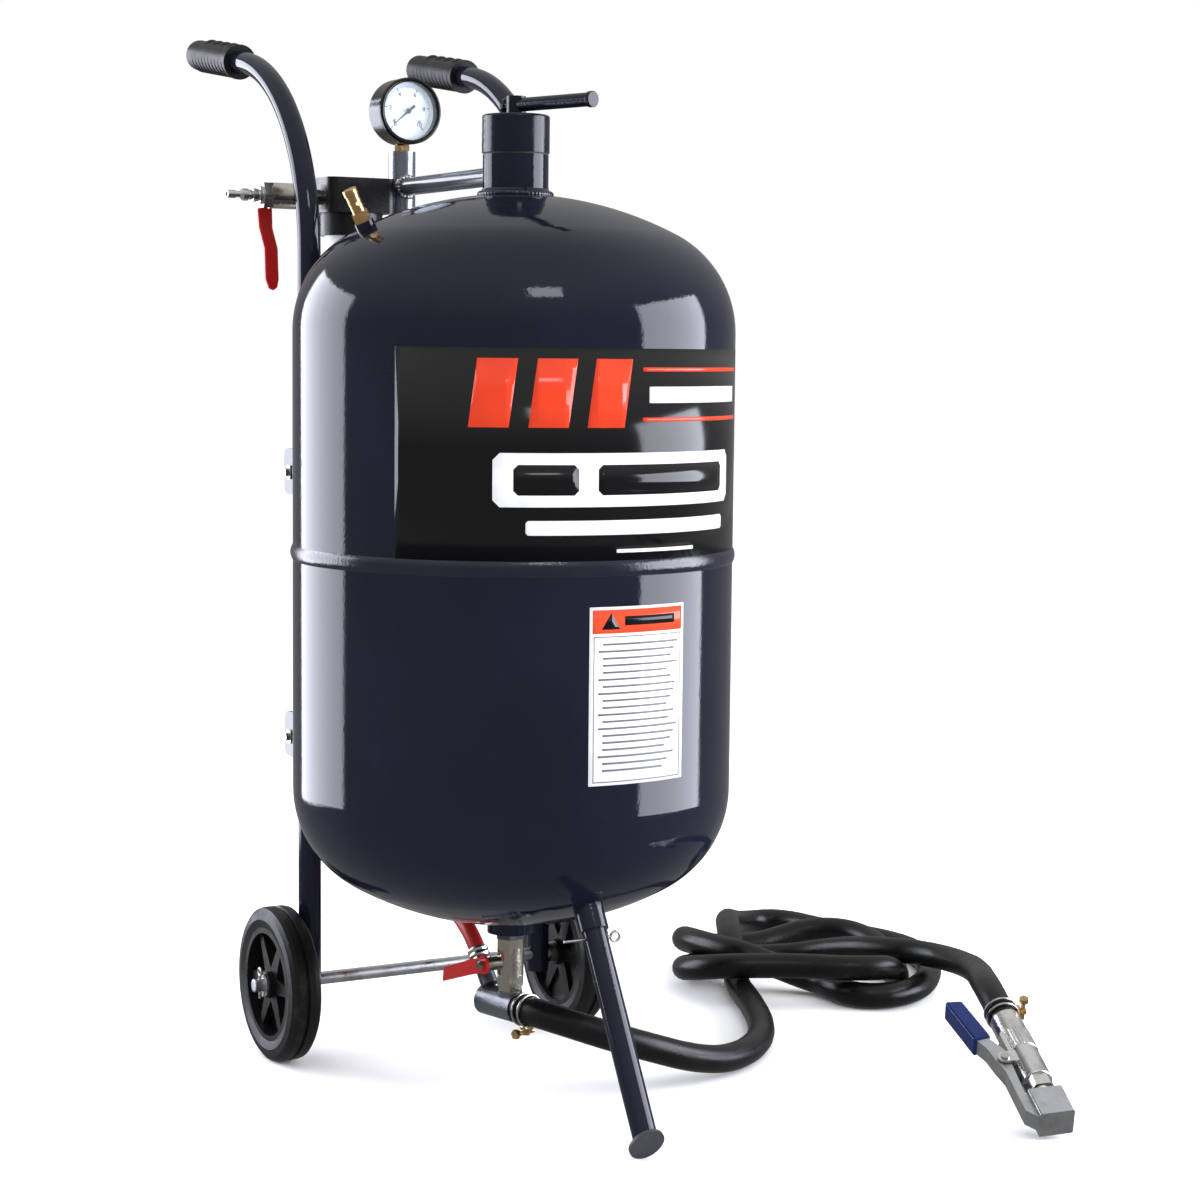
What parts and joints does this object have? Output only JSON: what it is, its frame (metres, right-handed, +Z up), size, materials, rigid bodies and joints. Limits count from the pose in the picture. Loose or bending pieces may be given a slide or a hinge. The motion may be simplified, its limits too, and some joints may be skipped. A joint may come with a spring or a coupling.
{
  "type": "pressure pot abrasive blaster",
  "caption": "Wheeled steel pressure pot with dished heads, bent tube handles, front leg, screw filler cap, air manifold, media valve and blast hose with deadman nozzle.",
  "frame": {"origin": "on the floor under the middle of the machine's box, without the blast hose and nozzle", "axes": "+Z up, +X to the machine's right seen from the front towards the hose, -Y the side of the label and the front leg, +Y the side of the handles and the manifold"},
  "size_m": [0.8567, 0.8735, 1.0108],
  "materials": {
    "powder_coat": "gloss powder coat",
    "cap_steel": "gloss powder coat",
    "gasket_rubber": "matte",
    "bar_steel": "satin",
    "zinc_hardware": "zinc plated",
    "foot_steel": "satin",
    "black_iron": "satin",
    "valve_nickel": "satin nickel",
    "lever_red": "dipped vinyl",
    "tee_grey": "grey cast",
    "hose_black": "satin",
    "holder_steel": "polished",
    "ceramic": "fired ceramic",
    "deadman_metal": "cast and pressed",
    "grip_blue": "vinyl sleeve",
    "air_hose_red": "satin",
    "manifold_grey": "metallic grey",
    "brass": "turned",
    "gauge_black": "satin",
    "gauge_face": "printed dial",
    "gauge_glass": "clear window",
    "gauge_needle_black": "matte",
    "filter_black": "moulded",
    "bowl_clear": "translucent polycarbonate",
    "grip_foam": "foam rubber",
    "wheel_plastic": "moulded",
    "tyre_rubber": "solid rubber"
  },
  "bodies": {
    "frame": {"tank_upper_shell": "powder_coat", "tank_lower_shell": "powder_coat", "girth_weld": "powder_coat", "filler_neck": "powder_coat", "tube_brackets": "powder_coat", "bracket_bolts": "zinc_hardware", "bracket_nuts": "zinc_hardware", "axle": "bar_steel", "axle_washers": "bar_steel", "cotter_pins": "zinc_hardware", "leg_socket": "powder_coat", "front_leg": "powder_coat", "leg_foot": "foot_steel", "leg_pin": "zinc_hardware", "outlet_flange": "powder_coat", "outlet_bushing": "black_iron", "media_valve_body": "valve_nickel", "tee_nipple": "black_iron", "mixing_tee": "tee_grey", "tee_hose_clamp": "zinc_hardware", "blast_hose": "hose_black", "nozzle_hose_clamp": "zinc_hardware", "nozzle_holder": "holder_steel", "nozzle_nut": "holder_steel", "ceramic_nozzle": "ceramic", "lever_pin": "zinc_hardware", "air_hose": "air_hose_red", "manifold_pipe": "manifold_grey", "crossover_pipe": "manifold_grey", "gauge_fitting": "brass", "gauge_case": "gauge_black", "gauge_dial": "gauge_face", "gauge_lens": "gauge_glass", "filter_head": "filter_black", "filter_bowl": "bowl_clear", "inlet_valve_body": "valve_nickel", "quick_plug": "brass", "relief_bung": "powder_coat", "relief_valve": "brass", "handle_tube_left": "powder_coat", "handle_tube_right": "powder_coat", "grip_left": "grip_foam", "grip_right": "grip_foam"},
    "wheel_left_body": {"wheel_left": "wheel_plastic", "tyre_left": "tyre_rubber"},
    "wheel_right_body": {"wheel_right": "wheel_plastic", "tyre_right": "tyre_rubber"},
    "cap_seal": {"cap_gasket": "gasket_rubber"},
    "cap": {"filler_cap": "cap_steel"},
    "bar": {"tommy_bar": "cap_steel"},
    "inlet_lever": {"inlet_valve_stem": "valve_nickel", "inlet_valve_lever": "lever_red"},
    "media_lever": {"media_valve_stem": "valve_nickel", "media_valve_lever": "lever_red"},
    "relief_plunger": {"relief_cap": "brass"},
    "drain_button": {"filter_drain": "filter_black"},
    "needle": {"gauge_pointer": "gauge_needle_black"},
    "deadman": {"deadman_lever": "deadman_metal", "lever_grip": "grip_blue", "nozzle_seal": "gasket_rubber"}
  },
  "joints": [
    {"name": "wheel_left_spin", "type": "hinge", "parent": "frame", "child": "wheel_left_body", "pos_m": [-0.158, 0.0771, 0.075], "axis": [1, 0, 0], "continuous": true},
    {"name": "wheel_right_spin", "type": "hinge", "parent": "frame", "child": "wheel_right_body", "pos_m": [0.158, 0.0771, 0.075], "axis": [1, 0, 0], "continuous": true},
    {"name": "cap_lift", "type": "slide", "parent": "frame", "child": "cap_seal", "axis": [0, 0, 1], "range_m": [0, 0.0254]},
    {"name": "cap_turn", "type": "hinge", "parent": "cap_seal", "child": "cap", "pos_m": [0, -0.1089, 0.905], "axis": [0, 0, 1], "range_deg": [0, 3960]},
    {"name": "bar_slide", "type": "slide", "parent": "cap", "child": "bar", "axis": [0.3099, -0.9508, 0], "range_m": [-0.082, 0]},
    {"name": "inlet_valve_turn", "type": "hinge", "parent": "frame", "child": "inlet_lever", "pos_m": [-0.134, 0.1411, 0.839], "axis": [0, 1, 0], "range_deg": [0, 90]},
    {"name": "media_valve_turn", "type": "hinge", "parent": "frame", "child": "media_lever", "pos_m": [0, -0.1089, 0.119], "axis": [-1, 0, 0], "range_deg": [0, 90]},
    {"name": "relief_pull", "type": "slide", "parent": "frame", "child": "relief_plunger", "axis": [-0.454, 0, 0.891], "range_m": [0, 0.003], "stiffness_N_per_m": 1500, "springref_m": -0.001},
    {"name": "drain_press", "type": "slide", "parent": "frame", "child": "drain_button", "axis": [0, 0, 1], "range_m": [0, 0.002], "stiffness_N_per_m": 600, "springref_m": -0.0005},
    {"name": "gauge_needle", "type": "hinge", "parent": "frame", "child": "needle", "pos_m": [0, 0.1256, 0.926], "axis": [0, 1, 0], "range_deg": [0, 270], "stiffness_Nm_per_rad": 0.00002, "springref_deg": -2.86},
    {"name": "deadman_squeeze", "type": "hinge", "parent": "frame", "child": "deadman", "pos_m": [0.35456, -0.40462, 0.04792], "axis": [0.2042, 0.3448, -0.9162], "range_deg": [0, 8.5], "stiffness_Nm_per_rad": 3, "springref_deg": -5.73}
  ],
  "couplings": [
    {"joint": "cap_lift", "follows": "cap_turn", "m_per_rad": 0.0003675}
  ]
}
